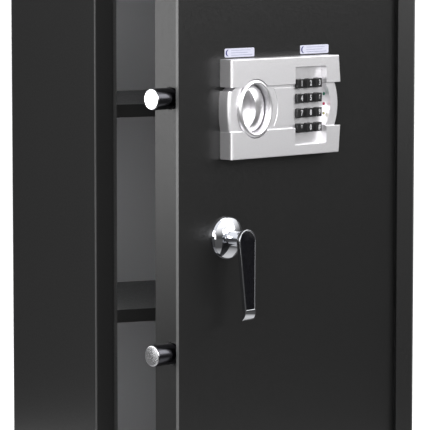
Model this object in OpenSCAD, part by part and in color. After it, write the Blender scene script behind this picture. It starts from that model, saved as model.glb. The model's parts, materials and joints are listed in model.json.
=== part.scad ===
// Floor-standing steel security cabinet with a keypad lock, a turning handle and two live bolts.
// Frame: origin at the centre of the footprint on the floor, +Z up, the door faces -Y,
// +X is the hinge side. Millimetres. The door is drawn shut, then turned open as a whole.

/* [Cabinet] */
// Outer width
body_w = 400; // [380:1:460]
// Outer depth
body_d = 300; // [280:1:420]
// Outer height
body_h = 760; // [740:1:820]
// Thickness of the folded steel sheet
sheet = 1.5; // [1.2:0.1:1.6]
// Width of the front flange round the door opening
flange_w = 22; // [20:1:24]
// Depth of the jamb lip behind the front flange
lip_d = 36; // [34:1:40]
// Height of the top of the lower shelf
shelf_low_z = 268; // [200:1:300]
// Height of the top of the upper shelf
shelf_high_z = 506; // [495:1:560]
// Height of the folded lip along a shelf's front edge
shelf_lip = 15; // [10:1:20]

/* [Door] */
// How far the door stands open
door_open = 22; // [0:1:90]
// Thickness of the door plate
plate_t = 4; // [3:0.5:5]
// Gap between the door plate and the opening
door_gap = 2.5; // [2:0.1:3]
// Whole thickness of the door
door_t = 46; // [44:1:50]

/* [Bolts] */
// Diameter of a live bolt
bolt_dia = 24; // [20:1:24]
// Distance of each bolt above and below the middle of the door
bolt_rise = 142; // [130:1:150]
// How far the bolts travel
bolt_throw = 25; // [20:1:25]

/* [Keypad] */
// Width of the keypad's upper and lower bars
pad_w = 172.8; // [168:0.2:176]
// Height of the keypad
pad_h = 111.4; // [110:0.1:116]
// How far the keypad stands out of the door
pad_t = 18; // [17:0.5:20]
// Width of a key
key_w = 11.2; // [9.5:0.1:11.4]
// Height of a key
key_h = 10.2; // [9.5:0.1:10.8]
// How far a key stands above the sloping floor
key_rise = 4.6; // [3:0.1:5]

/* [Handle] */
// Height of the handle's axis
handle_z = 364; // [350:1:380]
// Radius of the lever's round head
head_r = 13; // [12:0.5:14]
// Length of the lever from its axis to the curled tip
lever_l = 78; // [70:1:80]
// Lean of the lever away from the door, in degrees
lever_lean = 3.2; // [0:0.1:5]

/* [Hidden] */
$fn = 64;
eps = 0.01;

// cabinet
front_y = -body_d / 2;
back_y = body_d / 2;
open_x = body_w / 2 - flange_w;         // half width of the door opening
open_z0 = flange_w;
open_z1 = body_h - flange_w;
lip_back_y = front_y + sheet + lip_d;
anchor_r = 6;
anchor_x = 120;                         // half spacing of the anchor holes
anchor_y = 80;
anchor_z = 200;
shelf_front_y = -100;
shelf_x = body_w / 2 - 5;
rail_w = 18;

// hinge
pivot_x = open_x - 17;
pivot_y = front_y + 9;
pin_r = 4;
pin_in_door = 11.5;                     // how far a pin reaches down into the door pan
pin_in_case = 14;

// door, drawn shut
plate_x0 = -open_x + door_gap;
plate_x1 = open_x - 3;
plate_z0 = open_z0 + door_gap;
plate_z1 = open_z1 - door_gap;
plate_back_y = front_y + plate_t;
pan_x0 = plate_x0 + 7;
pan_x1 = pivot_x + 8.5;
pan_z0 = plate_z0 + 12;
pan_z1 = plate_z1 - 12;
cover_t = 1.5;
door_back_y = front_y + door_t;
pan_back_y = door_back_y - cover_t;
pan_rim = 14;
cover_screw_x = [pan_x0 + 8, pan_x1 - 8];
cover_screw_z = [for (i = [0:4]) pan_z0 + 24 + i * (pan_z1 - pan_z0 - 48) / 4];

// bolts and their carrier
bolt_r = bolt_dia / 2;
bolt_y = front_y + 19.5;
bolt_z = [body_h / 2 - bolt_rise, body_h / 2 + bolt_rise];
bolt_tip_x = sheet + 0.3 - body_w / 2; // just clear of the side wall when the door is shut
tab_x = -133;                           // where a bolt meets the carrier's tab
tab_t = 3;
carrier_y0 = front_y + 33;
carrier_t = 3;
carrier_x0 = -150;
carrier_x1 = -106;
post_r = 3;
post_x = -117;
post_z = [290, 470];
lug_z0 = 300;
lug_x1 = -66;

// handle and cam
handle_x = -102;
spindle_r = 5;
neck_r = 8.5;
lever_front = 34.5;                     // height of the head's front face above the door
lever_t = 5;
lever_tip_half = 8;
cam_r = 24;
cam_p0 = -29;
cam_t = 4;
cam_pin_r = 4;
cam_arm = bolt_throw / 2;               // the pin's offset from the spindle, sideways and down
slot_r = cam_pin_r + 0.7;
inlay_rim = 2;
head_drop = 1.5;                        // the head sits a little below the spindle's axis

// keypad
pad_x0 = -111.7;
pad_x1 = pad_x0 + pad_w;
pad_zc = 508;
pad_z0 = pad_zc - pad_h / 2;
pad_z1 = pad_zc + pad_h / 2;
bar_h = 31;
band_z0 = pad_z0 + bar_h;
band_z1 = pad_z1 - bar_h;
band_p = pad_t - 2.5;
bar_flare = 2.5;                        // the bars are wider where they meet the band
pad_wall = 2.5;
cavity_p = 12.5;
board_p = 2;
board_t = 1.6;
field_x0 = -10.5;
field_x1 = 40;
field_rise = 8.7;                       // how far the field's right edge bulges in the band
field_z0 = 463.6;
field_z1 = 552.3;
field_deep = 10;                        // height of the field's floor at its right edge
key_x = [-2.7, 13.6, 29.9];
key_z = [533, 516.3, 499.6, 482.7];
key_play = 0.2;
key_foot_p = 5.2;
lamp_x = 43.8;
lamp_z = [519.5, 508.1, 497.1];
lamp_r = 1.8;
ring_x = -73.4;
ring_z = pad_zc;
ring_off = 6.2;                         // half distance between the two arcs of the oval ring
ring_r = 27.5;
ring_in_r = 22.4;
ring_p = 20.5;
ring_floor_p = 6.5;
ring_floor_t = 2.5;
cap_r = 20.2;
cap_p = 17.5;                           // top of the key cover's dome
cap_edge_p = 11.4;
barrel_r = 9.5;
plug_r = 6;
stud_r = 2;
stud_x = [-98, -22];
stud_z = [463, 552];

// solenoid, battery box and reset button
coil_x = -60;
coil_y = front_y + 34.5;
coil_r = 9;
coil_z0 = 318;
coil_z1 = 350;
plunger_r = 3;
plunger_tip_z = 314;
box_x0 = -56;
box_x1 = 2;
box_z0 = 404;
box_z1 = 466;
box_y1 = door_back_y + 21.5;
box_wall = 2;
lid_y0 = door_back_y + 18;
lid_t = 2;
cell_r = 6.9;
cell_l = 50;
reset_x = -30;
reset_z = 385;
reset_r = 3;

// height of the key field's sloping floor above the door, at x
function floor_p(x) = band_p + (field_deep - band_p) * (x - field_x0) / (field_x1 - field_x0);

// turns what is drawn shut to where the open door holds it
module on_door() {
    translate([pivot_x, pivot_y, 0]) rotate([0, 0, door_open]) translate([-pivot_x, -pivot_y, 0]) children();
}

// a box on the door: x and z ranges, and p, the height above the door's face
module face_box(x0, x1, z0, z1, p0, p1) {
    translate([x0, front_y - p1, z0]) cube([x1 - x0, p1 - p0, z1 - z0]);
}

// a flat outline in x and z, raised from p0 to p1 above the door's face
module face_raise(p0, p1) {
    translate([0, front_y - p0, 0]) rotate([90, 0, 0]) linear_extrude(p1 - p0) children();
}

// a round post normal to the door's face
module face_post(x, z, r, p0, p1) {
    translate([x, front_y - p0, z]) rotate([90, 0, 0]) cylinder(h = p1 - p0, r = r);
}

// a round rod along x
module x_rod(x0, x1, y, z, r) {
    translate([x0, y, z]) rotate([0, 90, 0]) cylinder(h = x1 - x0, r = r);
}

// an upright oval with two round ends
module oval(r) {
    for (s = [-1, 1]) translate([ring_x, ring_z + s * ring_off]) circle(r);
    translate([ring_x - r, ring_z - ring_off]) square([2 * r, 2 * ring_off]);
}

// the part of a circle that bulges past a straight edge from (x, z0) to (x, z1) by rise
module bulge(x, z0, z1, rise) {
    half = (z1 - z0) / 2;
    r = (half * half + rise * rise) / (2 * abs(rise));
    side = rise > 0 ? 1 : -1;
    intersection() {
        translate([x + rise - side * r, (z0 + z1) / 2]) circle(r, $fn = 128);
        translate([side > 0 ? x - eps : x - 2 * r + eps, z0]) square([2 * r, z1 - z0]);
    }
}

// ---------- cabinet ----------

module case_wrap() {
    color([0.09, 0.09, 0.09]) difference() {
        translate([-body_w / 2, front_y, 0]) cube([body_w, body_d - sheet, body_h]);
        translate([-body_w / 2 + sheet, front_y + sheet, sheet])
            cube([body_w - 2 * sheet, body_d, body_h - 2 * sheet]);
        translate([-open_x, front_y - 1, open_z0]) cube([2 * open_x, sheet + 2, open_z1 - open_z0]);
        for (x = [-anchor_x, anchor_x], y = [-anchor_y, anchor_y])
            translate([x, y, -1]) cylinder(h = sheet + 2, r = anchor_r);
    }
}

module back_panel() {
    color([0.09, 0.09, 0.09]) difference() {
        translate([-body_w / 2, back_y - sheet, 0]) cube([body_w, sheet, body_h]);
        for (x = [-anchor_x, anchor_x], z = [-anchor_z, anchor_z])
            translate([x, back_y + 1, body_h / 2 + z])
                rotate([90, 0, 0]) cylinder(h = sheet + 2, r = anchor_r);
    }
}

module jamb_lip() {
    color([0.07, 0.07, 0.07]) difference() {
        translate([-open_x - sheet, front_y + sheet, open_z0 - sheet])
            cube([2 * (open_x + sheet), lip_d, open_z1 - open_z0 + 2 * sheet]);
        translate([-open_x, front_y, open_z0]) cube([2 * open_x, lip_d + 4, open_z1 - open_z0]);
        for (z = bolt_z) x_rod(-open_x - sheet - 1, -open_x + 1, bolt_y, z, bolt_r + 2);
        for (z = [open_z0 - sheet - 1, open_z1 - 1])
            translate([pivot_x, pivot_y, z]) cylinder(h = sheet + 2, r = pin_r + 0.2);
    }
}

// strips that the shut door lands on, along its free edge, its top and its bottom
module door_stops() {
    y = plate_back_y + 0.5;
    color([0.06, 0.06, 0.06]) {
        translate([-open_x, y, open_z0 + 6]) cube([6, sheet, open_z1 - open_z0 - 12]);
        for (z = [open_z0, open_z1 - 6]) translate([-open_x, y, z]) cube([open_x + 120, sheet, 6]);
    }
}

module shelf(top_z) {
    color([0.1, 0.1, 0.1]) difference() {
        translate([-shelf_x, shelf_front_y, top_z - shelf_lip])
            cube([2 * shelf_x, back_y - sheet - 2 - shelf_front_y, shelf_lip]);
        translate([-shelf_x - 1, shelf_front_y + sheet, top_z - shelf_lip - 1])
            cube([2 * shelf_x + 2, body_d, shelf_lip + 1 - sheet]);
        shelf_fixings(top_z) cylinder(h = 30, r = 2.6, center = true);
    }
}

// the four places where a shelf is screwed to its rails
module shelf_fixings(top_z) {
    for (s = [-1, 1], y = [-70, 110]) translate([s * (shelf_x - 6), y, top_z]) children();
}

module upper_shelf() { shelf(shelf_high_z); }

module lower_shelf() { shelf(shelf_low_z); }

module shelf_rails() {
    color([0.09, 0.09, 0.09]) for (top_z = [shelf_low_z, shelf_high_z]) difference() {
        for (s = [-1, 1]) {
            x = s > 0 ? body_w / 2 - sheet - rail_w : -body_w / 2 + sheet;
            wall_x = s > 0 ? body_w / 2 - 2 * sheet : -body_w / 2 + sheet;
            translate([x, -90, top_z - 2 * sheet]) cube([rail_w, 230, sheet]);
            translate([wall_x, -90, top_z - 22]) cube([sheet, 230, 22 - sheet]);
        }
        shelf_fixings(top_z) cylinder(h = 30, r = 2.6, center = true);
    }
}

module shelf_screws() {
    color([0.75, 0.75, 0.76]) for (top_z = [shelf_low_z, shelf_high_z]) shelf_fixings(top_z) {
        cylinder(h = 2.6, r1 = 4.8, r2 = 3);
        translate([0, 0, -9]) cylinder(h = 9 + eps, r = 2.5);
    }
}

module hinge_blocks() {
    color([0.12, 0.12, 0.12]) for (z = [open_z0 - sheet - pin_in_case, open_z1 + sheet]) difference() {
        translate([pivot_x - 12, front_y + sheet, z]) cube([24, 20, pin_in_case]);
        translate([pivot_x, pivot_y, z - 1]) cylinder(h = pin_in_case + 2, r = pin_r);
    }
}

module hinge_pins() {
    low = open_z0 - sheet - pin_in_case;
    len = pin_in_case + sheet + (pan_z0 - open_z0) + pin_in_door;
    color([0.7, 0.7, 0.72]) for (z = [low, body_h - low - len])
        translate([pivot_x, pivot_y, z]) cylinder(h = len, r = pin_r);
}

// ---------- door ----------

module door_plate() {
    color([0.09, 0.09, 0.09]) on_door() difference() {
        face_box(plate_x0, plate_x1, plate_z0, plate_z1, -plate_t, 0);
        face_post(handle_x, handle_z, 8, -plate_t - 1, 1);
        face_post(ring_x, ring_z, barrel_r + 0.1, -plate_t - 1, 1);
        for (x = stud_x, z = stud_z) face_post(x, z, stud_r + 0.2, -plate_t - 1, 1);
    }
}

module door_pan() {
    hollow_y = pan_back_y - plate_back_y + 1 - cover_t;
    color([0.1, 0.1, 0.1]) on_door() difference() {
        translate([pan_x0, plate_back_y, pan_z0])
            cube([pan_x1 - pan_x0, pan_back_y - plate_back_y, pan_z1 - pan_z0]);
        translate([pan_x0 + sheet, plate_back_y - 1, pan_z0 + sheet])
            cube([pan_x1 - pan_x0 - 2 * sheet, hollow_y, pan_z1 - pan_z0 - 2 * sheet]);
        translate([pan_x0 + pan_rim, plate_back_y, pan_z0 + pan_rim])
            cube([pan_x1 - pan_x0 - 2 * pan_rim, door_t, pan_z1 - pan_z0 - 2 * pan_rim]);
        for (z = bolt_z) x_rod(pan_x0 - 1, pan_x0 + sheet + 1, bolt_y, z, bolt_r + 1);
        for (z = [pan_z0 - 1, pan_z1 - sheet - 1])
            translate([pivot_x, pivot_y, z]) cylinder(h = sheet + 2, r = pin_r + 0.2);
        for (x = cover_screw_x, z = cover_screw_z) face_post(x, z, 1.8, -door_t - 1, -door_t + 4);
    }
}

module inner_cover() {
    color([0.11, 0.11, 0.11]) on_door() difference() {
        face_box(pan_x0 + 1, pan_x1 - 1, pan_z0 + 1, pan_z1 - 1, -door_t, -door_t + cover_t);
        for (x = cover_screw_x, z = cover_screw_z) face_post(x, z, 2, -door_t - 1, -door_t + 4);
        face_post(reset_x, reset_z, reset_r + 0.1, -door_t - 1, -door_t + 4);
    }
}

module cover_screws() {
    color([0.72, 0.72, 0.73]) on_door() for (x = cover_screw_x, z = cover_screw_z) {
        translate([x, door_back_y, z]) rotate([-90, 0, 0]) cylinder(h = 2, r1 = 3.6, r2 = 2.2);
        face_post(x, z, 1.8, -door_t - eps, -door_t + 2 * cover_t);
    }
}

module hinge_bosses() {
    color([0.5, 0.5, 0.52]) on_door() for (top = [false, true]) {
        z0 = top ? pan_z1 - sheet - 40 : pan_z0 + sheet;
        bore_z = top ? z0 + 28 : z0 - 1;
        difference() {
            translate([pivot_x - 10, plate_back_y, z0]) cube([10 + pan_x1 - sheet - pivot_x, 14, 40]);
            translate([pivot_x, pivot_y, bore_z]) cylinder(h = 13, r = pin_r + 0.05);
        }
    }
}

module bolt_bushes() {
    color([0.35, 0.35, 0.37]) on_door() for (z = bolt_z) difference() {
        translate([pan_x0 + sheet, plate_back_y, z - 17]) cube([15, 37.5, 34]);
        x_rod(pan_x0, pan_x0 + 20, bolt_y, z, bolt_r + 0.05);
    }
}

module carrier_guides() {
    back = carrier_y0 - front_y;
    color([0.6, 0.6, 0.62]) on_door() for (z = post_z) {
        face_post(post_x, z, post_r, -back - 6, -plate_t);
        face_post(post_x, z, 6, 0.3 - back, 4 - back);
        face_post(post_x, z, 5.5, -back - carrier_t - 1.8, -back - carrier_t - 0.3);
    }
}

module escutcheon() {
    dome = 11;
    color([0.85, 0.85, 0.87]) on_door() translate([handle_x, front_y, handle_z]) rotate([90, 0, 0])
        rotate_extrude($fn = 96) difference() {
            union() {
                square([24, 2]);
                intersection() {
                    translate([0, dome - 40]) circle(40, $fn = 160);
                    translate([0, 1]) square([22.5, dome]);
                }
            }
            translate([-1, -1]) square([1 + neck_r + 0.1, dome + 2]);
        }
}

module spindle_bush() {
    color([0.75, 0.62, 0.35]) on_door() difference() {
        union() {
            face_post(handle_x, handle_z, 8, -plate_t, 0);
            face_post(handle_x, handle_z, 11, -plate_t - 3, -plate_t);
        }
        face_post(handle_x, handle_z, spindle_r + 0.05, -plate_t - 4, 1);
    }
}

// ---------- keypad ----------

// the upper or lower bar, flared towards the band
module bar_outline(z_out, z_in) {
    polygon([[pad_x0, z_out], [pad_x1, z_out], [pad_x1 + bar_flare, z_in], [pad_x0, z_in]]);
}

module band_outline() {
    left = pad_x0 + 0.2;
    right = pad_x1 - 5;
    translate([left, band_z0]) square([right - left, band_z1 - band_z0]);
    bulge(left, band_z0, band_z1, -2.4);
    bulge(right, band_z0, band_z1, 5.3);
}

module field_outline() {
    translate([field_x0, field_z0]) square([field_x1 - field_x0, field_z1 - field_z0]);
    bulge(field_x1, band_z0, band_z1, field_rise);
}

// everything above the key field's sloping floor
module field_cut() {
    x1 = field_x1 + field_rise + 1;
    intersection() {
        face_raise(0, pad_t + 4) field_outline();
        translate([0, 0, field_z0 - 1]) linear_extrude(field_z1 - field_z0 + 2) polygon([
            [field_x0 - 1, front_y - floor_p(field_x0 - 1)],
            [x1, front_y - floor_p(x1)],
            [x1, front_y - pad_t - 6],
            [field_x0 - 1, front_y - pad_t - 6]
        ]);
    }
}

module keypad_housing() {
    color([0.78, 0.78, 0.79]) on_door() difference() {
        union() {
            face_raise(0, pad_t) bar_outline(pad_z1, band_z1);
            face_raise(0, pad_t) bar_outline(pad_z0, band_z0);
            face_raise(0, band_p) band_outline();
            face_raise(0, ring_p) oval(ring_r);
        }
        difference() {
            face_box(pad_x0 + 5, field_x0 - 3.5, pad_z0 + 3.5, pad_z1 - 3.5, -1, cavity_p);
            face_raise(ring_floor_p - ring_floor_t, cavity_p + 1) oval(ring_in_r + pad_wall);
            for (x = stud_x, z = stud_z) face_post(x, z, 5, -2, cavity_p + 1);
        }
        face_box(field_x0 - 3.5 - eps, pad_x1 - 9, pad_z0 + 5.5, pad_z1 - 5.5, -1, field_deep - pad_wall);
        face_raise(ring_floor_p, ring_p + 1) oval(ring_in_r);
        face_post(ring_x, ring_z, barrel_r + 0.1, -1, ring_floor_p + 1);
        field_cut();
        for (x = key_x, z = key_z) key_box(x, z, 2 * key_play, 0, pad_t);
        for (z = lamp_z) face_post(lamp_x, z, lamp_r + 0.05, 0, pad_t);
        for (x = stud_x, z = stud_z) face_post(x, z, stud_r, -1, 9);
    }
}

module housing_studs() {
    color([0.7, 0.7, 0.72]) on_door() for (x = stud_x, z = stud_z) {
        face_post(x, z, stud_r, -plate_t - 5, 9);
        face_post(x, z, 4, -plate_t - 3, -plate_t);
    }
}

module circuit_board() {
    color([0.1, 0.35, 0.16]) on_door()
        face_box(field_x0 - 2.5, pad_x1 - 10, pad_z0 + 6.5, pad_z1 - 6.5, board_p, board_p + board_t);
}

module lamp(i) {
    on_door() face_post(lamp_x, lamp_z[i], lamp_r, board_p + board_t, floor_p(lamp_x) + 0.7);
}

module green_lamp() { color([0.15, 0.4, 0.25]) lamp(0); }

module red_lamp() { color([0.7, 0.05, 0.15]) lamp(1); }

module amber_lamp() { color([0.5, 0.5, 0.2]) lamp(2); }

module face_labels() {
    color([0.93, 0.93, 0.96]) on_door() for (x = [-105, 14.8])
        face_box(x, x + 46.4, pad_z1 + 1.6, pad_z1 + 11.6, 0, 0.4);
}

// a box centred on a key, wider and taller than the key by more
module key_box(x, z, more, p0, p1) {
    half_w = (key_w + more) / 2;
    half_h = (key_h + more) / 2;
    face_box(x - half_w, x + half_w, z - half_h, z + half_h, p0, p1);
}

// a cap on a wider foot, its top parallel to the sloping floor
module key(column, row) {
    x = key_x[column];
    z = key_z[row];
    half = key_w / 2;
    color([0.03, 0.03, 0.03]) on_door() union() {
        key_box(x, z, 1.8, key_foot_p, key_foot_p + 1);
        translate([0, 0, z - key_h / 2]) linear_extrude(key_h) polygon([
            [x - half, front_y - key_foot_p],
            [x - half, front_y - floor_p(x - half) - key_rise],
            [x + half, front_y - floor_p(x + half) - key_rise],
            [x + half, front_y - key_foot_p]
        ]);
    }
}

module key_1() { key(0, 0); }
module key_2() { key(1, 0); }
module key_3() { key(2, 0); }
module key_4() { key(0, 1); }
module key_5() { key(1, 1); }
module key_6() { key(2, 1); }
module key_7() { key(0, 2); }
module key_8() { key(1, 2); }
module key_9() { key(2, 2); }
module key_a() { key(0, 3); }
module key_0() { key(1, 3); }
module key_b() { key(2, 3); }

module lock_barrel() {
    color([0.72, 0.72, 0.73]) on_door() difference() {
        union() {
            face_post(ring_x, ring_z, barrel_r, -22, ring_floor_p - 1);
            face_post(ring_x, ring_z, 12, -plate_t - 3, -plate_t);
        }
        face_post(ring_x, ring_z, plug_r + 0.05, -23, ring_floor_p);
    }
}

module lock_plug() {
    color([0.75, 0.62, 0.35]) on_door() difference() {
        face_post(ring_x, ring_z, plug_r, -24, ring_floor_p - 0.8);
        face_box(ring_x - 0.8, ring_x + 0.8, ring_z - 4, ring_z + 4, -4, ring_floor_p);
    }
}

// hangs down from the plug, and swings towards the hinges as the plug turns
module lock_cam() {
    color([0.6, 0.6, 0.62]) on_door() {
        face_box(ring_x - 4, ring_x + 4, ring_z - 18, ring_z, -27, -24);
        face_post(ring_x, ring_z, plug_r, -27, -24);
    }
}

// a shallow dome with a finger scoop in its left half
module key_cover() {
    rise = cap_p - cap_edge_p;
    dome_r = (cap_r * cap_r + rise * rise) / (2 * rise);
    scoop_r = 39.7;
    dish_r = 60;
    dish_p = 9.5;
    color([0.82, 0.82, 0.83]) on_door() difference() {
        intersection() {
            face_raise(ring_floor_p + 0.2, cap_p + 1) oval(cap_r);
            translate([ring_x, front_y - cap_p + dome_r, ring_z]) union() {
                for (s = [-1, 1]) translate([0, 0, s * ring_off]) sphere(r = dome_r, $fn = 128);
                translate([0, 0, -ring_off]) cylinder(h = 2 * ring_off, r = dome_r, $fn = 128);
            }
        }
        intersection() {
            face_post(ring_x - scoop_r - 0.4, ring_z, scoop_r, 1, cap_p + 2);
            translate([ring_x - 8, front_y - dish_p - dish_r, ring_z]) sphere(r = dish_r, $fn = 128);
        }
    }
}

// ---------- handle ----------

// turns what is drawn about the head, lying along the door, to the lever's lean
module on_lever() {
    on_door() translate([handle_x, front_y - lever_front, handle_z - head_drop])
        rotate([-lever_lean, 0, 0]) children();
}

// a round head and a straight taper to a square end
module lever_outline(inset, end) {
    r = head_r - inset;
    a = asin((head_r - lever_tip_half) / lever_l);
    circle(r, $fn = 96);
    polygon([
        [-r * cos(a), -r * sin(a)], [r * cos(a), -r * sin(a)],
        [lever_tip_half - inset, -end], [inset - lever_tip_half, -end]
    ]);
}

module handle_lever() {
    curl_r = 12;
    curl_t = 4;
    color([0.85, 0.85, 0.87]) {
        on_door() face_post(handle_x, handle_z, neck_r, 0.5, lever_front - lever_t + 1);
        on_lever() difference() {
            union() {
                translate([0, lever_t, 0]) rotate([90, 0, 0]) linear_extrude(lever_t)
                    lever_outline(0, lever_l);
                translate([0, curl_r, -lever_l]) rotate([-90, 0, 0]) rotate([0, 90, 0])
                    rotate_extrude(angle = 60) translate([curl_r - curl_t, -lever_tip_half])
                        square([curl_t, 2 * lever_tip_half]);
            }
            translate([0, 1.2, 0]) rotate([90, 0, 0]) linear_extrude(3)
                lever_outline(inlay_rim, lever_l - inlay_rim);
        }
    }
}

module handle_inlay() {
    color([0.04, 0.04, 0.04]) on_lever() translate([0, 1.2, 0]) rotate([90, 0, 0]) linear_extrude(1)
        lever_outline(inlay_rim + 0.05, lever_l - inlay_rim - 0.05);
}

module handle_spindle() {
    color([0.6, 0.6, 0.62]) on_door() face_post(handle_x, handle_z, spindle_r, cam_p0, 0.5);
}

module cam_plate() {
    color([0.6, 0.6, 0.62]) on_door() difference() {
        face_post(handle_x, handle_z, cam_r, cam_p0, cam_p0 + cam_t);
        face_post(handle_x, handle_z, spindle_r, cam_p0 - 1, cam_p0 + cam_t + 1);
    }
}

module cam_pin() {
    color([0.75, 0.75, 0.76]) on_door()
        face_post(handle_x - cam_arm, handle_z - cam_arm, cam_pin_r, cam_p0 - 9, cam_p0);
}

// ---------- bolts ----------

module bolt_carrier() {
    z0 = bolt_z[0] - 23;
    z1 = bolt_z[1] + 23;
    back = carrier_y0 - front_y;
    slot_x = handle_x - cam_arm;
    slot_z1 = handle_z - cam_arm;
    slot_z0 = handle_z - cam_arm * sqrt(2);
    guide_x0 = post_x - bolt_throw - 0.3;
    guide_x1 = post_x + 0.3;
    guide_r = post_r + 0.2;
    color([0.62, 0.62, 0.64]) on_door() difference() {
        union() {
            face_box(carrier_x0, carrier_x1, z0, z1, -back - carrier_t, -back);
            face_box(carrier_x1 - eps, lug_x1, lug_z0, lug_z0 + 12, -back - carrier_t, -back);
            for (z = bolt_z) face_box(tab_x, tab_x + tab_t, z - 12, z + 12, -back - eps, -7);
        }
        for (z = [slot_z0, slot_z1]) face_post(slot_x, z, slot_r, -back - 4, 1 - back);
        face_box(slot_x - slot_r, slot_x + slot_r, slot_z0, slot_z1, -back - 4, 1 - back);
        for (z = post_z) {
            for (x = [guide_x0, guide_x1]) face_post(x, z, guide_r, -back - 4, 1 - back);
            face_box(guide_x0, guide_x1, z - guide_r, z + guide_r, -back - 4, 1 - back);
        }
        for (z = bolt_z) x_rod(tab_x - 1, tab_x + tab_t + 1, bolt_y, z, 3);
    }
}

module live_bolt(z) {
    nose = 1.2;
    color([0.86, 0.86, 0.88]) on_door() difference() {
        union() {
            x_rod(bolt_tip_x + nose - eps, tab_x, bolt_y, z, bolt_r);
            translate([bolt_tip_x, bolt_y, z])
                rotate([0, 90, 0]) cylinder(h = nose, r1 = bolt_r - nose, r2 = bolt_r);
        }
        x_rod(tab_x - 14, tab_x + 1, bolt_y, z, 3);
    }
}

module lower_bolt() { live_bolt(bolt_z[0]); }

module upper_bolt() { live_bolt(bolt_z[1]); }

module bolt_screws() {
    color([0.7, 0.7, 0.72]) on_door() for (z = bolt_z) {
        x_rod(tab_x - 13, tab_x + tab_t + eps, bolt_y, z, 3);
        x_rod(tab_x + tab_t, tab_x + tab_t + 3.5, bolt_y, z, 5.5);
    }
}

// ---------- solenoid ----------

module solenoid_frame() {
    half = 14;
    y0 = coil_y - 11.5;
    color([0.5, 0.5, 0.52]) on_door() difference() {
        union() {
            translate([coil_x - half, y0 - 2, coil_z0 - 2]) cube([2 * half, 2, coil_z1 - coil_z0 + 4]);
            translate([coil_x - half, plate_back_y, coil_z0 + 10])
                cube([2 * half, y0 - 2 - plate_back_y, 12]);
            for (z = [coil_z0 - 2, coil_z1]) translate([coil_x - half, y0 - eps, z]) cube([2 * half, 20, 2]);
        }
        translate([coil_x, coil_y, coil_z0 - 3]) cylinder(h = 50, r = plunger_r + 0.1);
    }
}

module solenoid_coil() {
    color([0.55, 0.25, 0.1]) on_door() difference() {
        translate([coil_x, coil_y, coil_z0]) cylinder(h = coil_z1 - coil_z0, r = coil_r);
        translate([coil_x, coil_y, coil_z0 - 1]) cylinder(h = 50, r = plunger_r + 0.1);
    }
}

module solenoid_plunger() {
    head_z = coil_z1 + 9;
    color([0.78, 0.78, 0.8]) on_door() union() {
        translate([coil_x, coil_y, plunger_tip_z]) cylinder(h = head_z - plunger_tip_z, r = plunger_r);
        translate([coil_x, coil_y, head_z]) cylinder(h = 3, r = 5);
    }
}

// ---------- battery box and reset button ----------

module battery_box() {
    inner_y = door_back_y + box_wall;
    color([0.05, 0.05, 0.05]) on_door() difference() {
        translate([box_x0, door_back_y, box_z0])
            cube([box_x1 - box_x0, box_y1 - door_back_y, box_z1 - box_z0]);
        translate([box_x0 + box_wall, inner_y, box_z0 + box_wall])
            cube([box_x1 - box_x0 - 2 * box_wall, 40, box_z1 - box_z0 - 2 * box_wall]);
        translate([box_x0 + 1, lid_y0 - 0.2, box_z0 + box_wall])
            cube([box_x1 - box_x0 - 2, lid_t + 0.4, box_z1]);
        translate([box_x0 + box_wall, lid_y0, box_z0 + box_wall])
            cube([box_x1 - box_x0 - 2 * box_wall, 40, box_z1]);
    }
}

module batteries() {
    x0 = (box_x0 + box_x1 - cell_l) / 2;
    pitch = 2 * cell_r + 0.6;
    y = door_back_y + box_wall + cell_r + 0.2;
    color([0.3, 0.32, 0.36]) on_door() for (i = [0:3])
        x_rod(x0, x0 + cell_l, y, (box_z0 + box_z1) / 2 + (i - 1.5) * pitch, cell_r);
}

module battery_lid() {
    color([0.06, 0.06, 0.06]) on_door() union() {
        translate([box_x0 + 1.2, lid_y0, box_z0 + box_wall + 0.2])
            cube([box_x1 - box_x0 - 2.4, lid_t, box_z1 - box_z0 - box_wall - 0.2]);
        for (i = [0:2]) translate([box_x0 + 16, lid_y0 + lid_t - eps, box_z1 - 12 + 3 * i])
            cube([box_x1 - box_x0 - 32, 1, 1.2]);
    }
}

module reset_button() {
    color([0.7, 0.06, 0.05]) on_door() union() {
        face_post(reset_x, reset_z, reset_r, -door_t - 3, -door_t + 8);
        face_post(reset_x, reset_z, 4.5, -door_t + 2 * cover_t, -door_t + 2 * cover_t + 1);
    }
}

case_wrap();
back_panel();
jamb_lip();
door_stops();
upper_shelf();
lower_shelf();
shelf_rails();
shelf_screws();
hinge_blocks();
hinge_pins();
door_plate();
door_pan();
inner_cover();
cover_screws();
hinge_bosses();
bolt_bushes();
carrier_guides();
escutcheon();
spindle_bush();
keypad_housing();
housing_studs();
circuit_board();
green_lamp();
red_lamp();
amber_lamp();
face_labels();
lock_barrel();
solenoid_frame();
solenoid_coil();
battery_box();
batteries();
handle_lever();
handle_inlay();
handle_spindle();
cam_plate();
cam_pin();
bolt_carrier();
upper_bolt();
lower_bolt();
bolt_screws();
solenoid_plunger();
lock_plug();
lock_cam();
key_cover();
battery_lid();
reset_button();
key_1();
key_2();
key_3();
key_4();
key_5();
key_6();
key_7();
key_8();
key_9();
key_a();
key_0();
key_b();
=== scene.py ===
"""Looks for the tall steel safe: bevelled metalwork, keypad, lever handle, keys and procedural materials."""

import json
import math

import bmesh
import bpy
from mathutils import Matrix, Vector


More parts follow.
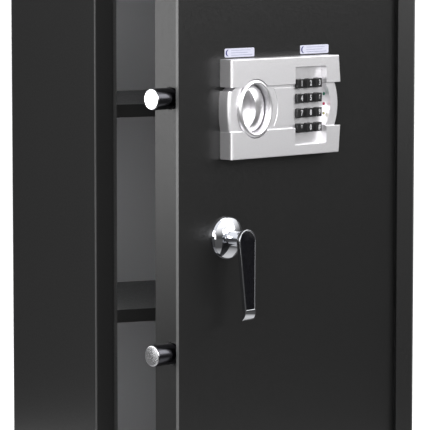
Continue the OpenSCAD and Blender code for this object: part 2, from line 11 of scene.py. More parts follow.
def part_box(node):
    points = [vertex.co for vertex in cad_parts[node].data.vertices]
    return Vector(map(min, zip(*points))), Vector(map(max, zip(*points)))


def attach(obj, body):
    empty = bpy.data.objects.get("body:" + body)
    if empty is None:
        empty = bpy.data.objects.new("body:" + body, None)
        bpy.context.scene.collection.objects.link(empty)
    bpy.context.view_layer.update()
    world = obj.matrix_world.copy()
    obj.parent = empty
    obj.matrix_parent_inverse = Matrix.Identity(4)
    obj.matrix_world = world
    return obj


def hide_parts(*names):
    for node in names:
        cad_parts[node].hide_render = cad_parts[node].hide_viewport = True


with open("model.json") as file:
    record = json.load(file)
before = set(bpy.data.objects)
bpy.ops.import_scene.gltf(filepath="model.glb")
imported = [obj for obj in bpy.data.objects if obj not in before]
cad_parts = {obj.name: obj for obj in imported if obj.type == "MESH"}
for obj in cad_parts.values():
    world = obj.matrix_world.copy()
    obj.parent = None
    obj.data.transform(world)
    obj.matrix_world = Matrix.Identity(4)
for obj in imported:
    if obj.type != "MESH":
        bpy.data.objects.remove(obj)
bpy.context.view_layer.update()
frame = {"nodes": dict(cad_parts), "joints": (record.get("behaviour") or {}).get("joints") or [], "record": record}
NODES = frame["nodes"]
MM = 0.001


# ---------- places read from the frame ----------

def joint(name):
    return next(j for j in frame["joints"] if j["name"] == name)


OUT = Vector(joint("key_cover_slide")["axis"]).normalized()    # out of the door's face
UP = Vector((0, 0, 1))
ACROSS = UP.cross(OUT) * -1                                    # along the door, towards the hinges
if ACROSS.x < 0:
    ACROSS = -ACROSS
TURN = Matrix((ACROSS, -OUT, UP)).transposed().to_4x4()        # door axes to the shared frame's
PLUG = Vector(joint("plug_turn")["pos_m"])
PLATE_T = 0.004                                                # thickness of the door's front plate
BOLT_TIP = 0.0075                                              # from the bolt's box corner to its end


def on_door(origin):
    """Places a piece drawn with x along the door, y inwards and z up at a point of the open door."""
    return Matrix.Translation(origin) @ TURN


# ---------- node helpers for materials ----------

class Shader:
    """A new material with a Principled shader, and short calls that add nodes to it."""

    def __init__(self, name, color, rough, metal=0.0, **sockets):
        self.mat = bpy.data.materials.new(name)
        self.mat.use_nodes = True
        self.mat.diffuse_color = (*color, 1)
        self.tree = self.mat.node_tree
        self.bsdf = self.tree.nodes["Principled BSDF"]
        self.bsdf.inputs["Base Color"].default_value = (*color, 1)
        self.bsdf.inputs["Roughness"].default_value = rough
        self.bsdf.inputs["Metallic"].default_value = metal
        for key, value in sockets.items():
            self.bsdf.inputs[key.replace("_", " ")].default_value = value
        self.coords = self.node("ShaderNodeTexCoord").outputs["Object"]
        self.height = None

    def node(self, kind, **inputs):
        made = self.tree.nodes.new(kind)
        for key, value in inputs.items():
            self.link(value, made.inputs[key.replace("_", " ")])
        return made

    def link(self, value, socket):
        if isinstance(value, bpy.types.NodeSocket):
            self.tree.links.new(value, socket)
        else:
            socket.default_value = value

    def noise(self, scale, detail=2.0, stretch=None):
        where = self.coords
        if stretch:
            where = self.node("ShaderNodeMapping", Vector=where, Scale=stretch).outputs["Vector"]
        return self.node("ShaderNodeTexNoise", Vector=where, Scale=scale, Detail=detail).outputs["Fac"]

    def spread(self, value, low, high, lo_in=0.3, hi_in=0.7):
        made = self.node("ShaderNodeMapRange", Value=value)
        made.inputs["From Min"].default_value = lo_in
        made.inputs["From Max"].default_value = hi_in
        made.inputs["To Min"].default_value = low
        made.inputs["To Max"].default_value = high
        return made.outputs["Result"]

    def shade(self, value, dark, light, lo_in=0.3, hi_in=0.7):
        """Base colour running from dark to light as value runs from lo_in to hi_in."""
        ramp = self.node("ShaderNodeValToRGB", Fac=value)
        first, last = ramp.color_ramp.elements
        first.position, last.position = lo_in, hi_in
        first.color, last.color = (*dark, 1), (*light, 1)
        self.tree.links.new(ramp.outputs["Color"], self.bsdf.inputs["Base Color"])

    def rough(self, value, low, high):
        self.tree.links.new(self.spread(value, low, high), self.bsdf.inputs["Roughness"])

    def bump(self, value, strength, depth):
        made = self.node("ShaderNodeBump", Height=value, Strength=strength, Distance=depth)
        if self.height:
            self.tree.links.new(self.height, made.inputs["Normal"])
        self.height = made.outputs["Normal"]
        self.tree.links.new(self.height, self.bsdf.inputs["Normal"])


# ---------- materials ----------

COAT = (0.006, 0.006, 0.006)                                   # the black powder coat
COAT_ROUGH = 0.33
FADE = 0.0004                                                  # how far a painted highlight takes to fade into the coat
FOLD = 0.0019                                                  # how far the painted highlight reaches from a fold
SAWN = 0.0002                                                  # and how far the painted highlight reaches from a sawn edge


def fine_grain(s):
    """The fine grain that every powder-coated sheet has."""
    s.bump(s.noise(1500.0, 2.0), 0.10, 0.0003)


def coat_finish(s):
    """The coat's slightly uneven gloss, with its grain."""
    s.rough(s.noise(420.0, 2.0), COAT_ROUGH - 0.04, COAT_ROUGH + 0.05)
    fine_grain(s)


def orange_peel(s):
    """The broader waves of a thick coat."""
    s.bump(s.noise(240.0, 1.0), 0.05, 0.0006)


def along_door(s):
    """How far along the door a point lies, in metres."""
    along = s.node("ShaderNodeVectorMath", Vector=s.coords)
    along.operation = "DOT_PRODUCT"
    along.inputs[1].default_value = ACROSS
    return along.outputs["Value"]


def math_node(s, operation, *values):
    """The result of one Math node fed with the values given."""
    made = s.node("ShaderNodeMath")
    made.operation = operation
    for value, socket in zip(values, made.inputs):
        s.link(value, socket)
    return made.outputs["Value"]


def powder_coat(name):
    """Black powder coat: a fine grain, faint cloudiness and slightly uneven gloss."""
    s = Shader(name, COAT, COAT_ROUGH, Specular_IOR_Level=0.45)
    s.shade(s.noise(9.0, 3.0), tuple(c * 0.9 for c in COAT), tuple(c * 1.12 for c in COAT))
    coat_finish(s)
    orange_peel(s)
    return s.mat


def wrap_with_painted_fold_highlight(name):
    """The case wrap's powder coat, paler in a thin strip over the two upright front folds: a painted highlight."""
    s = Shader(name, COAT, COAT_ROUGH, Specular_IOR_Level=0.45)
    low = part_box("case_wrap")[0]
    split = s.node("ShaderNodeSeparateXYZ", Vector=s.coords)
    reach = math_node(s, "SUBTRACT", math_node(s, "ABSOLUTE", split.outputs["X"]), split.outputs["Y"])
    corner = -low[0] - low[1]
    fold = s.spread(reach, 0.0, 1.0, corner - FOLD, corner - FOLD + FADE)
    # the paler grey along the folds is a painted highlight, light caught by the fold's radius
    s.shade(fold, COAT, (0.045, 0.045, 0.045), 0.1, 0.9)
    coat_finish(s)
    orange_peel(s)
    return s.mat


def plate_with_painted_edge_highlight(name):
    """The door plate's paint, with a painted highlight: paler on the sawn edge at its free side."""
    s = Shader(name, (0.02, 0.02, 0.02), COAT_ROUGH, Specular_IOR_Level=0.45)
    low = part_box("door_plate")[0]
    edge = Vector((low[0], low[1] + PLATE_T * abs(OUT.y), 0)).dot(ACROSS)
    away = s.spread(along_door(s), 0.0, 1.0, edge + SAWN, edge + SAWN + FADE)
    # the paler grey on the sawn edge is a painted highlight, light caught by the edge
    s.shade(away, (0.066, 0.066, 0.066), COAT, 0.1, 0.9)
    coat_finish(s)
    return s.mat


def panel_with_painted_light_inside(name):
    """The back panel's paint: black powder coat outside, and a lighter grey on its inner face that is painted
    light falling inside the safe.
    """
    s = Shader(name, (0.05, 0.05, 0.052), 0.5, Specular_IOR_Level=0.3)
    depth = s.node("ShaderNodeSeparateXYZ", Vector=s.coords).outputs["Y"]
    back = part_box("back_panel")[1][1]
    # the painted light and the black coat meet inside the thickness of the sheet, so neither face shows the change
    outer = s.spread(depth, 0.0, 1.0, back - 0.0012, back - 0.0010)
    # the lighter grey on the inner face is painted light
    s.shade(outer, (0.090, 0.090, 0.094), COAT, 0.4, 0.6)
    fine_grain(s)
    return s.mat


def chrome(name):
    """Polished chrome plate, with a very faint ripple from the casting below it."""
    s = Shader(name, (0.66, 0.67, 0.70), 0.045, 1.0)
    s.rough(s.noise(60.0, 2.0), 0.03, 0.07)
    s.bump(s.noise(90.0, 1.0), 0.02, 0.0004)
    return s.mat


def bolt_chrome_painted_light(name):
    """Hard chrome on a live bolt, with a painted highlight making the end face bright and painted shade darkening
    the shaft.
    """
    s = Shader(name, (0.10, 0.10, 0.11), 0.08, 1.0)
    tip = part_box("upper_bolt")[0]
    end = Vector((tip[0], tip[1], 0)).dot(ACROSS) + BOLT_TIP
    away = s.spread(along_door(s), 0.0, 1.0, end + 0.0005, end + 0.0010)
    # the bright end face is a painted highlight and the dark shaft is painted shade
    s.shade(away, (0.80, 0.80, 0.82), (0.07, 0.07, 0.078), 0.1, 0.9)
    s.rough(s.noise(60.0, 2.0), 0.20, 0.26)
    return s.mat


def satin_steel(name, tone, rough, grain=(1, 1, 14)):
    """Rolled or plated steel with a fine directional grain."""
    s = Shader(name, (tone, tone, tone * 1.02), rough, 1.0)
    s.shade(s.noise(700.0, 3.0, grain), (tone * 0.88,) * 3, (tone * 1.08, tone * 1.08, tone * 1.1))
    s.rough(s.noise(900.0, 2.0, grain), rough - 0.06, rough + 0.08)
    s.bump(s.noise(1100.0, 2.0, grain), 0.05, 0.0002)
    return s.mat


def silver_paint(name, rough, metal):
    """Fine metallic silver paint on moulded plastic, with a faint sparkle of flake."""
    s = Shader(name, (0.88, 0.87, 0.89), rough, metal)
    s.shade(s.noise(3200.0, 1.0), (0.84, 0.83, 0.85), (0.93, 0.92, 0.94))
    s.rough(s.noise(500.0, 2.0), rough - 0.03, rough + 0.05)
    s.bump(s.noise(2600.0, 1.0), 0.06, 0.0001)
    return s.mat


def moulded(name, color, rough, grain=0.08, scale=1800.0):
    """Moulded plastic with a fine spark texture."""
    s = Shader(name, color, rough)
    s.shade(s.noise(25.0, 2.0), tuple(c * 0.9 for c in color), tuple(c * 1.1 for c in color))
    s.rough(s.noise(scale * 0.4, 2.0), max(rough - 0.05, 0.02), rough + 0.06)
    s.bump(s.noise(scale, 2.0), grain, 0.0002)
    return s.mat


def lens(name, color):
    """A small unlit indicator lens: clear coat over tinted plastic."""
    s = Shader(name, color, 0.25, Coat_Weight=0.8, Coat_Roughness=0.04)
    s.shade(s.noise(1200.0, 2.0), tuple(c * 0.75 for c in color), tuple(min(c * 1.25, 1) for c in color))
    return s.mat


def machined(name, color, rough):
    """Turned metal with a fine concentric look and slight tarnish."""
    s = Shader(name, color, rough, 1.0)
    s.shade(s.noise(260.0, 3.0), tuple(c * 0.82 for c in color), color)
    s.rough(s.noise(800.0, 2.0), rough - 0.05, rough + 0.1)
    s.bump(s.noise(1500.0, 2.0), 0.05, 0.0001)
    return s.mat


def board(name):
    """Green solder mask with paler copper tracks below it."""
    s = Shader(name, (0.02, 0.16, 0.05), 0.35, Coat_Weight=0.5)
    tracks = s.node("ShaderNodeTexBrick", Vector=s.coords, Scale=260.0).outputs["Fac"]
    s.shade(tracks, (0.015, 0.13, 0.04), (0.05, 0.28, 0.09))
    s.bump(tracks, 0.1, 0.0001)
    return s.mat


def winding(name):
    """Varnished copper wire in tight turns."""
    s = Shader(name, (0.45, 0.17, 0.05), 0.3, 0.7)
    wave = s.node("ShaderNodeTexWave", Vector=s.coords, Scale=380.0, Distortion=0.4)
    wave.bands_direction = "Z"
    s.shade(wave.outputs["Fac"], (0.25, 0.08, 0.02), (0.6, 0.25, 0.08), 0.1, 0.9)
    s.bump(wave.outputs["Fac"], 0.6, 0.0004)
    return s.mat


def film(name, color):
    """Satin printed film on a label."""
    s = Shader(name, color, 0.4, Coat_Weight=0.3)
    s.shade(s.noise(300.0, 2.0), tuple(c * 0.96 for c in color), color)
    s.bump(s.noise(900.0, 1.0), 0.03, 0.0001)
    return s.mat


LOOKS = {
    "black_powder_coat": powder_coat("black_powder_coat"),
    "back_panel": panel_with_painted_light_inside("back_panel"),
    "door_plate": plate_with_painted_edge_highlight("door_plate"),
    "case_wrap": wrap_with_painted_fold_highlight("case_wrap"),
    "black_rubber": moulded("black_rubber", (0.012, 0.012, 0.012), 0.7, 0.15, 900.0),
    "zinc_steel": satin_steel("zinc_steel", 0.66, 0.3, (1, 1, 1)),
    "bare_steel": satin_steel("bare_steel", 0.5, 0.38),
    "polished_chrome": chrome("polished_chrome"),
    "bolt_chrome_painted_light": bolt_chrome_painted_light("bolt_chrome_painted_light"),
    "black_gloss_plastic": moulded("black_gloss_plastic", (0.002, 0.002, 0.003), 0.16, 0.03, 600.0),
    "silver_paint": silver_paint("silver_paint", 0.38, 0.92),
    "silver_satin_cap": silver_paint("silver_satin_cap", 0.34, 1.0),
    "brass": machined("brass", (0.78, 0.58, 0.28), 0.28),
    "nickel": machined("nickel", (0.66, 0.64, 0.60), 0.22),
    "board_green": board("board_green"),
    "green_lens": lens("green_lens", (0.015, 0.09, 0.06)),
    "red_lens": lens("red_lens", (0.24, 0.006, 0.04)),
    "amber_lens": lens("amber_lens", (0.16, 0.15, 0.04)),
    "white_label": film("white_label", (0.44, 0.445, 0.53)),
    "key_print": film("key_print", (0.34, 0.34, 0.35)),
    "copper_coil": winding("copper_coil"),
    "black_plastic": moulded("black_plastic", (0.018, 0.018, 0.019), 0.5),
    "cell_wrap": moulded("cell_wrap", (0.10, 0.11, 0.14), 0.25, 0.03),
    "red_plastic": moulded("red_plastic", (0.6, 0.02, 0.02), 0.3, 0.04),
    "key_black": moulded("key_black", (0.003, 0.003, 0.0035), 0.42, 0.06),
    "blue_mark": film("blue_mark", (0.015, 0.012, 0.12)),
    "grey_mark": film("grey_mark", (0.26, 0.27, 0.36)),
}


def paint(obj, look):
    obj.data.materials.clear()
    obj.data.materials.append(LOOKS[look])


# ---------- CAD nodes: material, and edges softened by modifiers ----------

def soften(obj, width):
    """Joins the faces of a CAD mesh, rounds its sharp edges and keeps its flats flat."""
    weld = obj.modifiers.new("weld", "WELD")
    weld.merge_threshold = 0.00002
    flat = obj.modifiers.new("flat", "DECIMATE")
    flat.decimate_type = "DISSOLVE"
    flat.angle_limit = math.radians(0.5)
    bevel = obj.modifiers.new("bevel", "BEVEL")
    bevel.width = width
    bevel.segments = 3
    bevel.limit_method = "ANGLE"
    bevel.angle_limit = math.radians(35)
    bevel.harden_normals = True


EDGE = {
    "case_wrap": 2.0, "back_panel": 0.5, "jamb_lip": 0.5, "door_plate": 1.0, "door_pan": 0.8,
    "inner_cover": 0.5, "upper_shelf": 0.6, "lower_shelf": 0.6, "hinge_blocks": 0.6, "bolt_carrier": 0.3,
    "battery_box": 0.7, "battery_lid": 0.3, "upper_bolt": 0.3, "lower_bolt": 0.3, "handle_lever": 0.7,
    "handle_inlay": 0.2, "solenoid_frame": 0.4, "reset_button": 0.5, "cover_screws": 0.2,
    **{f"key_{name}": 1.5 for name in "1234567890ab"},
}
NODE_LOOKS = {"back_panel": "back_panel", "door_plate": "door_plate", "case_wrap": "case_wrap",
              "upper_bolt": "bolt_chrome_painted_light", "lower_bolt": "bolt_chrome_painted_light", "bolt_bushes": "black_powder_coat"}


def finish_cad_nodes():
    for row in frame["record"]["subparts"]:
        obj = NODES[row["node"]]
        paint(obj, NODE_LOOKS.get(row["node"], row["material_slot"]))
        if row["node"] in EDGE:
            soften(obj, EDGE[row["node"]] * MM)


finish_cad_nodes()


# ---------- solids drawn on the door's face, in millimetres ----------
# x runs along the door from the centre of the keypad's ring, z up from it, and p out of the door's face.

def arc(cx, cz, r, start, stop, count):
    """Points on an arc round (cx, cz), between two angles in degrees."""
    turns = [math.radians(start + (stop - start) * i / (count - 1)) for i in range(count)]
    return [(cx + r * math.cos(a), cz + r * math.sin(a)) for a in turns]


def bulged(x, z0, z1, rise, count=17):
    """Points from (x, z0) to (x, z1) along an arc that stands rise past the straight line."""
    half = (z1 - z0) / 2
    r = (half * half + rise * rise) / (2 * abs(rise))
    side = math.copysign(1, rise)
    reach = math.asin(half / r)
    turns = [reach * (2 * i / (count - 1) - 1) for i in range(count)]
    return [(x + rise - side * r + side * r * math.cos(a), (z0 + z1) / 2 + r * math.sin(a)) for a in turns]


def oval(r, count=72):
    """An upright oval round the ring's centre, taller than wide by the same margin at every size."""
    turns = [math.tau * i / count for i in range(count)]
    return [(r * math.cos(a), (r + RING_OFF) * math.sin(a)) for a in turns]


def circle(cx, cz, r, count=32):
    return arc(cx, cz, r, 0, 360 - 360 / count, count)


def rectangle(x0, x1, z0, z1, r=0.0):
    """A rectangle, with round corners where r is given."""
    if not r:
        return [(x0, z0), (x1, z0), (x1, z1), (x0, z1)]
    corners = [(x1 - r, z0 + r, -90), (x1 - r, z1 - r, 0), (x0 + r, z1 - r, 90), (x0 + r, z0 + r, 180)]
    return [point for cx, cz, start in corners for point in arc(cx, cz, r, start, start + 90, 7)]


def loft(name, rings):
    """A closed solid through rings of (x, z, p), lowest first, capped at both ends."""
    bm = bmesh.new()
    loops = [[bm.verts.new((x * MM, -p * MM, z * MM)) for x, z, p in ring] for ring in rings]
    count = len(loops[0])
    for low, high in zip(loops, loops[1:]):
        for i in range(count):
            j = (i + 1) % count
            bm.faces.new((low[i], low[j], high[j], high[i]))
    bm.faces.new(reversed(loops[0]))
    bm.faces.new(loops[-1])
    mesh = bpy.data.meshes.new(name)
    bm.to_mesh(mesh)
    bm.free()
    obj = bpy.data.objects.new(name, mesh)
    bpy.context.collection.objects.link(obj)
    return obj


def slab(name, outline, p0, p1):
    """A flat solid with one outline, between the heights p0 and p1."""
    return loft(name, [[(x, z, p) for x, z in outline] for p in (p0, p1)])


def turned(name, profile):
    """An oval solid whose radius and height follow a profile of (r, p)."""
    return loft(name, [[(x, z, p) for x, z in oval(r)] for r, p in profile])


def apply_modifiers(obj):
    shape = bpy.data.meshes.new_from_object(obj.evaluated_get(bpy.context.evaluated_depsgraph_get()))
    obj.modifiers.clear()
    old = obj.data
    obj.data = shape
    bpy.data.meshes.remove(old)


def boolean(obj, other, how="DIFFERENCE"):
    """Cuts another solid out of obj, or joins it on, and deletes it."""
    mod = obj.modifiers.new("boolean", "BOOLEAN")
    mod.operation = how
    mod.solver = "EXACT"
    mod.object = other
    apply_modifiers(obj)
    bpy.data.objects.remove(other)


def round_edges(obj, width, choose, segments):
    """Rounds the edges whose middle point (x, z, p) is chosen; choose returns a share of the width."""
    mesh = obj.data
    weights = mesh.attributes.new("bevel_weight_edge", "FLOAT", "EDGE")
    for edge in mesh.edges:
        middle = (mesh.vertices[edge.vertices[0]].co + mesh.vertices[edge.vertices[1]].co) / (2 * MM)
        weights.data[edge.index].value = choose(middle.x, middle.z, -middle.y)
    bevel = obj.modifiers.new("bevel", "BEVEL")
    bevel.width = width * MM
    bevel.segments = segments
    bevel.limit_method = "WEIGHT"
    apply_modifiers(obj)


SHARP = 38.0                           # edges that turn by more degrees than this stay sharp


def settle(obj, body, look, edge=0.0):
    """Places a finished piece on the door, shades it smooth between its sharp edges, and lets it ride."""
    obj.matrix_world = on_door(PLUG)
    if edge:
        bevel = obj.modifiers.new("bevel", "BEVEL")
        bevel.width = edge * MM
        bevel.segments = 2
        bevel.limit_method = "ANGLE"
        bevel.angle_limit = math.radians(SHARP)
        apply_modifiers(obj)
    obj.data.shade_smooth()
    obj.data.set_sharp_from_angle(angle=math.radians(SHARP))
    even = obj.modifiers.new("even", "WEIGHTED_NORMAL")
    even.keep_sharp = True
    paint(obj, look)
    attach(obj, body)


# ---------- keypad ----------

RING_OFF = 5.9                         # by how much an oval's half height is more than its half width
RING_HOLE = 27.4
PAD_LEFT, PAD_RIGHT, PAD_HALF, PAD_P = -38.3, 134.5, 55.7, 18.0
BAND_HALF, BAND_P = 24.7, 15.5
BAND_LEFT, BAND_RIGHT = PAD_LEFT + 0.2, PAD_RIGHT - 5
BAND_TUCK = 3                          # how far the band reaches in behind each bar
FIELD_X, FIELD_Z, FIELD_P = (62.9, 113.4), (-44.4, 44.3), (15.5, 10.0)
FIELD_CORNER, FIELD_BULGE = 2.6, 8.7
KEY_X, KEY_Z, KEY_RISE = (70.7, 87.0, 103.3), (25.0, 8.3, -8.4, -25.3), 4.6
KEY_SIZE, KEY_GAP, KEY_CORNER = (11.2, 10.2), 0.35, 1.4
DIGIT_SIZE, DIGIT_NARROW, DIGIT_SHIFT = 8.6, 0.78, 1.4
DIGIT_THICK, DIGIT_BOLD = 0.12, 0.28
LABEL_X, LABEL_SIZE, LABEL_GAP = (-31.6, 88.2), (46.4, 10.0), 1.6
LAMP_X, LAMP_Z = 117.2, (11.5, 0.1, -10.9)
LAMP_R, BARREL_R = 1.95, 9.6
PANEL_LEFT, PANEL_HALF, PANEL_BULGE, PANEL_RISE = 30.2, 21.6, 6.4, 0.5
CAVITY_X, CAVITY_HALF, CAVITY_P = (59.4, 123.0), 49, 7.0
CUT_P = PAD_P + 4                      # top of the cuts for the ring, field, keys and lamps


def floor_p(x):
    """Height of the key field's sloping floor."""
    share = (x - FIELD_X[0]) / (FIELD_X[1] - FIELD_X[0])
    return FIELD_P[0] + (FIELD_P[1] - FIELD_P[0]) * share


def bar(side):
    """The upper or lower bar: a wide chamfer down its left end, and softly rounded front edges."""
    near, far = BAND_HALF, PAD_HALF
    outline = [(PAD_LEFT, near), (PAD_RIGHT + 2.5, near), (PAD_RIGHT, far), (PAD_LEFT, far)]
    if side < 0:
        outline = [(x, -z) for x, z in reversed(outline)]
    made = slab("bar", outline, 0, PAD_P)

    def choose(x, z, p):
        if p < PAD_P - 0.1:
            return 0.3 if p > 0.1 else 0
        if abs(z) < near + 1:
            return 0.15
        return 1.0 if x < PAD_LEFT + 1 else 0.5 if x > PAD_RIGHT - 1 else 0.4
    round_edges(made, 3.0, choose, 4)
    return made


def band():
    """The band between the bars, with a chamfered bulging left end and a bulging right end."""
    reach = BAND_HALF + BAND_TUCK
    left = bulged(BAND_LEFT, -BAND_HALF, BAND_HALF, -2.4)
    right = bulged(BAND_RIGHT, -BAND_HALF, BAND_HALF, 5.3)
    outline = [(right[0][0], -reach)] + right + [(right[-1][0], reach)]
    outline += [(left[-1][0], reach)] + left[::-1] + [(left[0][0], -reach)]
    made = slab("band", outline, 0, BAND_P)

    def choose(x, z, p):
        if p < BAND_P - 0.1 or abs(z) > reach - 0.5:
            return 0
        return 1.0 if x < 0 else 0.35
    round_edges(made, 3.6, choose, 4)
    return made


def field_cutter():
    """The space over the key field: its floor slopes, and its right side bulges round the lamps."""
    x0, x1 = FIELD_X
    z0, z1 = FIELD_Z
    r = FIELD_CORNER
    outline = [(x0, z0)] + arc(x1 - r, z0 + r, r, -90, 0, 7) + bulged(x1, -BAND_HALF, BAND_HALF, FIELD_BULGE)
    outline += arc(x1 - r, z1 - r, r, 0, 90, 7) + [(x0, z1)]
    return loft("field", [[(x, z, floor_p(x)) for x, z in outline], [(x, z, CUT_P) for x, z in outline]])


def raised_panel():
    """The plain panel between the ring and the keys, bounded by an arc round the ring."""
    right = FIELD_X[0] + 1
    outline = [(right, -PANEL_HALF), (right, PANEL_HALF)]
    outline += bulged(PANEL_LEFT, -PANEL_HALF, PANEL_HALF, PANEL_BULGE)[::-1]
    made = slab("panel", outline, 8, BAND_P + PANEL_RISE)
    round_edges(made, 0.3, lambda x, z, p: 1.0 if p > BAND_P else 0.0, 2)
    return made


def keypad_housing():
    """The silver housing: bars, band and panel joined, then the notch, the key field and the holes cut."""
    made = bar(1)
    for part in (bar(-1), band(), raised_panel()):
        boolean(made, part, "UNION")
    outside, inside = PAD_LEFT - 9, PAD_LEFT + 9
    notch = [(outside, BAND_HALF - 4.4), (PAD_LEFT + 3.4, BAND_HALF - 4.0), (inside, BAND_HALF - 0.4)]
    notch += [(inside, BAND_HALF), (outside, BAND_HALF)]
    boolean(made, slab("notch", notch, -1, BAND_P + 1))
    boolean(made, slab("ring_hole", oval(RING_HOLE), -1, CUT_P))
    boolean(made, field_cutter())
    boolean(made, slab("cavity", rectangle(*CAVITY_X, -CAVITY_HALF, CAVITY_HALF), -1, CAVITY_P))
    for x in KEY_X:
        for z in KEY_Z:
            w, h = KEY_SIZE[0] / 2 + KEY_GAP, KEY_SIZE[1] / 2 + KEY_GAP
            boolean(made, slab("key_hole", rectangle(x - w, x + w, z - h, z + h, KEY_CORNER), 0, CUT_P))
    for z in LAMP_Z:
        boolean(made, slab("lamp_hole", circle(LAMP_X, z, LAMP_R), 0, CUT_P))
    made.name = "keypad_shell"
    settle(made, "door", "silver_paint", edge=0.35)
    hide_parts("keypad_housing")


def ring_cup():
    """The raised oval ring round the key cover, with its well and the hole for the lock barrel."""
    made = turned("ring_cup", [
        (27.1, 0.5), (27.1, 15.4), (26.7, 16.8), (26.1, 18.0),
        (25.3, 18.9), (24.4, 19.4), (23.6, 19.55), (23.0, 19.6),
    ])
    boolean(made, turned("well", [
        (21.3, 6.5), (21.3, 13.0), (21.4, 16.8), (21.6, 18.0),
        (22.0, 18.9), (22.6, 19.4), (23.3, 19.6), (23.3, 24.0),
    ]))
    boolean(made, slab("barrel_hole", circle(0, 0, BARREL_R), -1, 9))
    settle(made, "door", "silver_satin_cap")


def key_cover():
    """The dome that hides the key lock, with a finger scoop in its left half."""
    edge_r, edge_p, top_p = 20.2, 11.4, 17.5
    rise = top_p - edge_p
    dome_r = (edge_r * edge_r + rise * rise) / (2 * rise)
    profile = [(edge_r - 0.4, 6.7), (edge_r, 7.1), (edge_r, edge_p - 0.9), (edge_r - 0.25, edge_p - 0.3)]
    steps = 22
    for i in range(1, steps):
        r = (edge_r - 0.7) * (1 - i / steps)
        profile.append((r, top_p - dome_r + math.sqrt(dome_r * dome_r - r * r)))
    made = turned("key_cover_dome", profile)
    scoop_r, dish_r, dish_p = 39.7, 60.0, 9.5
    scoop = slab("scoop", circle(-scoop_r - 0.4, 0, scoop_r, 256), 1, 24)
    bpy.ops.mesh.primitive_uv_sphere_add(segments=256, ring_count=128, radius=dish_r * MM)
    dish = bpy.context.object
    dish.data.transform(Matrix.Translation((-8 * MM, -(dish_p + dish_r) * MM, 0)))
    boolean(scoop, dish, "INTERSECT")
    boolean(made, scoop)
    settle(made, "key_cover", "silver_satin_cap", edge=0.45)
    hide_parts("key_cover")


def digit(body, text, column, row):
    """A printed figure on a key's sloping top."""
    curve = bpy.data.curves.new("digit", "FONT")
    curve.body = text
    curve.size = DIGIT_SIZE
    curve.align_x = "CENTER"
    curve.align_y = "CENTER"
    curve.extrude = DIGIT_THICK
    curve.offset = DIGIT_BOLD
    source = bpy.data.objects.new("digit", curve)
    bpy.context.collection.objects.link(source)
    mesh = bpy.data.meshes.new_from_object(source.evaluated_get(bpy.context.evaluated_depsgraph_get()))
    bpy.data.objects.remove(source)
    made = bpy.data.objects.new("digit_" + body, mesh)
    bpy.context.collection.objects.link(made)
    x, z = KEY_X[column] + DIGIT_SHIFT, KEY_Z[row]
    slope = math.atan2(FIELD_P[0] - FIELD_P[1], FIELD_X[1] - FIELD_X[0])
    tilt = Matrix.Rotation(slope, 4, "Z") @ Matrix.Rotation(math.radians(90), 4, "X")
    place = Matrix.Translation(Vector((x, -floor_p(x) - KEY_RISE, z)) * MM)
    mesh.transform(place @ tilt @ Matrix.Diagonal((DIGIT_NARROW * MM, MM, MM, 1)))
    settle(made, body, "key_print")


def digits():
    """The figures of all twelve keys, row by row from the top."""
    layout = (("1", "2", "3"), ("4", "5", "6"), ("7", "8", "9"), ("a", "0", "b"))
    for row, names in enumerate(layout):
        for column, name in enumerate(names):
            digit("key_" + name, {"a": "*", "b": "#"}.get(name, name), column, row)


def label(name, x0):
    """A white film label with a plain blue crescent and faint ruled lines in place of any words."""
    z0 = PAD_HALF + LABEL_GAP
    made = slab(name, rectangle(x0, x0 + LABEL_SIZE[0], z0, z0 + LABEL_SIZE[1], 1.6), 0, 0.4)
    settle(made, "door", "white_label", edge=0.08)
    middle = z0 + LABEL_SIZE[1] / 2
    moon_x, moon_r, bite_x, bite_r = 5.2, 3.7, 7.0, 3.6
    dot = slab(name + "_dot", circle(x0 + moon_x, middle, moon_r), 0.35, 0.46)
    boolean(dot, slab("hole", circle(x0 + bite_x, middle, bite_r), 0, 1))
    settle(dot, "door", "blue_mark", edge=0.02)
    rule_x, spacing, half = x0 + 10, 2.7, 0.35
    for i, length in enumerate((30, 26, 33)):
        z = middle + spacing * (1 - i)
        line = rectangle(rule_x, rule_x + length, z - half, z + half, 0.3)
        rule = slab(f"{name}_rule_{i}", line, 0.35, 0.45)
        settle(rule, "door", "grey_mark", edge=0.02)
    return made


def labels():
    left = label("label_left", LABEL_X[0])
    label("label_right", LABEL_X[1])
    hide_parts("face_labels")


keypad_housing()
ring_cup()
key_cover()
digits()
labels()


# ---------- floor, light and camera ----------

def stage_floor():
    bpy.ops.mesh.primitive_plane_add(size=40, location=(0, 8, 0))
    floor = bpy.context.object
    floor.name = "studio_floor"
    s = Shader("studio_floor", (0.9, 0.9, 0.9), 0.6)
    s.shade(s.noise(2.0, 2.0), (0.88, 0.88, 0.88), (0.9, 0.9, 0.9))
    floor.data.materials.append(s.mat)
    bpy.ops.mesh.primitive_plane_add(size=40, location=(0, 8, 0.0005))
    flag = bpy.context.object
    flag.name = "reflection_flag"
    flag.visible_camera = flag.visible_diffuse = flag.visible_shadow = False
    # only reflections see the flag: a pale floor beside the safe, turning dark further off
    near_r, far_r = 0.4, 0.8
    grey = Shader("reflection_flag", (0.07, 0.07, 0.07), 0.9, Specular_IOR_Level=0.0)
    away = grey.node("ShaderNodeVectorMath", Vector=grey.coords)
    away.operation = "DISTANCE"
    away.inputs[1].default_value = (0, -8, 0)
    distance = grey.spread(away.outputs["Value"], 0.0, 1.0, near_r, far_r)
    grey.shade(distance, (0.5, 0.5, 0.5), (0.05, 0.05, 0.05), 0.0, 1.0)
    flag.data.materials.append(grey.mat)


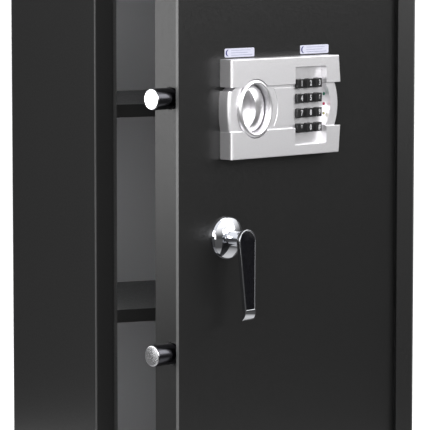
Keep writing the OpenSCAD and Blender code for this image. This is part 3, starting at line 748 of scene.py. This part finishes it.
def area_light(name, place, target, size, power):
    """A soft rectangular light; the camera doesn't see it."""
    data = bpy.data.lights.new(name, "AREA")
    data.shape = "RECTANGLE"
    data.size, data.size_y = size
    data.energy = power
    lamp = bpy.data.objects.new(name, data)
    lamp.location = place
    lamp.rotation_euler = (Vector(target) - Vector(place)).to_track_quat("-Z", "Y").to_euler()
    lamp.visible_camera = False
    bpy.context.collection.objects.link(lamp)


def studio():
    world = bpy.data.worlds.new("studio")
    bpy.context.scene.world = world
    world.use_nodes = True
    tree = world.node_tree
    tree.nodes["Background"].inputs["Color"].default_value = (1, 1, 1, 1)
    coords = tree.nodes.new("ShaderNodeTexCoord")
    split = tree.nodes.new("ShaderNodeSeparateXYZ")
    rise = tree.nodes.new("ShaderNodeMapRange")
    rise.interpolation_type = "SMOOTHSTEP"
    for key, value in {"From Min": 0.0, "From Max": 0.6, "To Min": 0.08, "To Max": 1.7}.items():
        rise.inputs[key].default_value = value
    tree.links.new(coords.outputs["Generated"], split.inputs["Vector"])
    tree.links.new(split.outputs["Z"], rise.inputs["Value"])
    tree.links.new(rise.outputs["Result"], tree.nodes["Background"].inputs["Strength"])
    area_light("key", (1.8, -1.1, 1.45), (0.05, -0.22, 0.6), (1.3, 1.2), 14)
    area_light("rim", (-1.6, 0.34, 0.72), (-0.14, -0.25, 0.68), (0.9, 1.0), 12.5)
    area_light("front", (-1.7, -3.2, 1.5), (0, 0.1, 0.45), (1.6, 1.6), 60)
    area_light("side", (1.95, -2.9, 1.2), (0.19, -0.15, 0.7), (1.1, 0.9), 25)
    area_light("low", (-0.3, -3.3, 0.47), (0, 0, 0.42), (0.7, 0.85), 4)
    for name, z in (("lower_inside", 0.125), ("middle_inside", 0.376), ("upper_inside", 0.632)):
        area_light(name, (-0.168, -0.112, z), (0.18, 0.8, z + 0.02), (0.008, 0.17), 0.75)
    bpy.context.scene.view_settings.view_transform = "Standard"


def camera():
    data = bpy.data.cameras.new("camera")
    data.sensor_width = 36
    data.lens = 251
    data.clip_end = 100
    cam = bpy.data.objects.new("camera", data)
    pitch, turn = 84.2, -22
    cam.location = (-1.3396, -3.3329, 0.728)
    cam.rotation_euler = (math.radians(pitch), 0, math.radians(turn))
    bpy.context.collection.objects.link(cam)
    bpy.context.scene.camera = cam


stage_floor()
studio()
camera()
